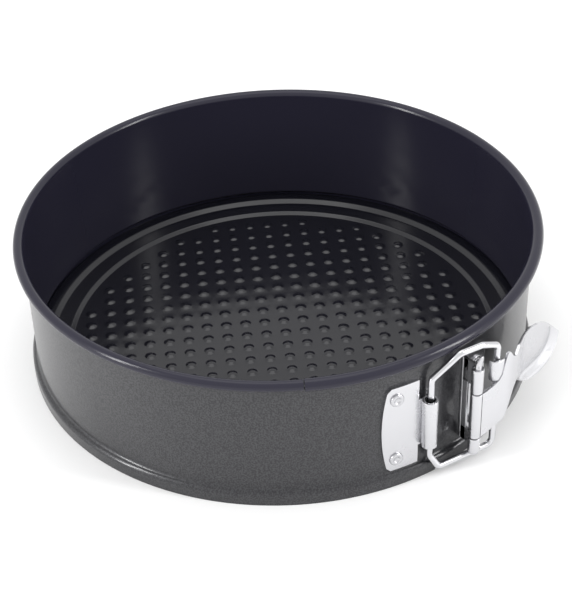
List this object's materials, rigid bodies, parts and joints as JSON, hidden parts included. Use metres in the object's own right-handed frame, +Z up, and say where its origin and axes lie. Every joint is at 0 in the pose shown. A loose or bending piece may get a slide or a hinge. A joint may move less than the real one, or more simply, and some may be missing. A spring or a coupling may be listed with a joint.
{
  "type": "springform pan",
  "caption": "Round springform cake pan: loose embossed base plate in an open band with rolled rim, drawn tight by a lever and wire bail latch.",
  "frame": {"origin": "centre of the base plate's underside, on the table plane", "axes": "+Z up along the pan's axis, -Y out through the latch's hinge pin"},
  "size_m": [0.2481, 0.2569, 0.069],
  "materials": {
    "coated_steel_outside": "satin speckled non-stick coating",
    "coated_steel_base": "semi-gloss non-stick coating",
    "plated_steel": "bright nickel plate with a soft sheen",
    "plated_wire": "bright drawn and plated wire",
    "rivet_steel": "plated rivet steel"
  },
  "bodies": {
    "base": {"base_plate": "coated_steel_base"},
    "band_fixed_side": {"band_right": "coated_steel_outside", "hinge_bracket": "plated_steel", "bracket_rivet_upper": "rivet_steel", "bracket_rivet_lower": "rivet_steel", "hinge_pin": "rivet_steel"},
    "band_sprung_side": {"band_left": "coated_steel_outside", "catch_plate": "plated_steel", "catch_rivet_upper": "rivet_steel", "catch_rivet_lower": "rivet_steel"},
    "lever": {"latch_lever": "plated_steel"},
    "bail": {"bail_wire": "plated_wire"}
  },
  "joints": [
    {"name": "ring_lift", "type": "slide", "parent": "base", "child": "band_fixed_side", "axis": [0, 0, 1], "range_m": [0, 0.09]},
    {"name": "latch_lever_swing", "type": "hinge", "parent": "band_fixed_side", "child": "lever", "pos_m": [0, -0.13, 0], "axis": [0, 0, -1], "range_deg": [0, 160]},
    {"name": "band_spring", "type": "hinge", "parent": "band_fixed_side", "child": "band_sprung_side", "pos_m": [0, 0.1244, 0], "axis": [0, 0, -1], "range_deg": [0, 3.3]},
    {"name": "bail_swing", "type": "hinge", "parent": "band_sprung_side", "child": "bail", "pos_m": [-0.01911, -0.12143, 0], "axis": [0, 0, -1], "range_deg": [0, 16]}
  ],
  "couplings": [
    {"joint": "band_spring", "follows": "latch_lever_swing", "ratio": 0.0202},
    {"joint": "bail_swing", "follows": "latch_lever_swing", "ratio": 0.1}
  ]
}
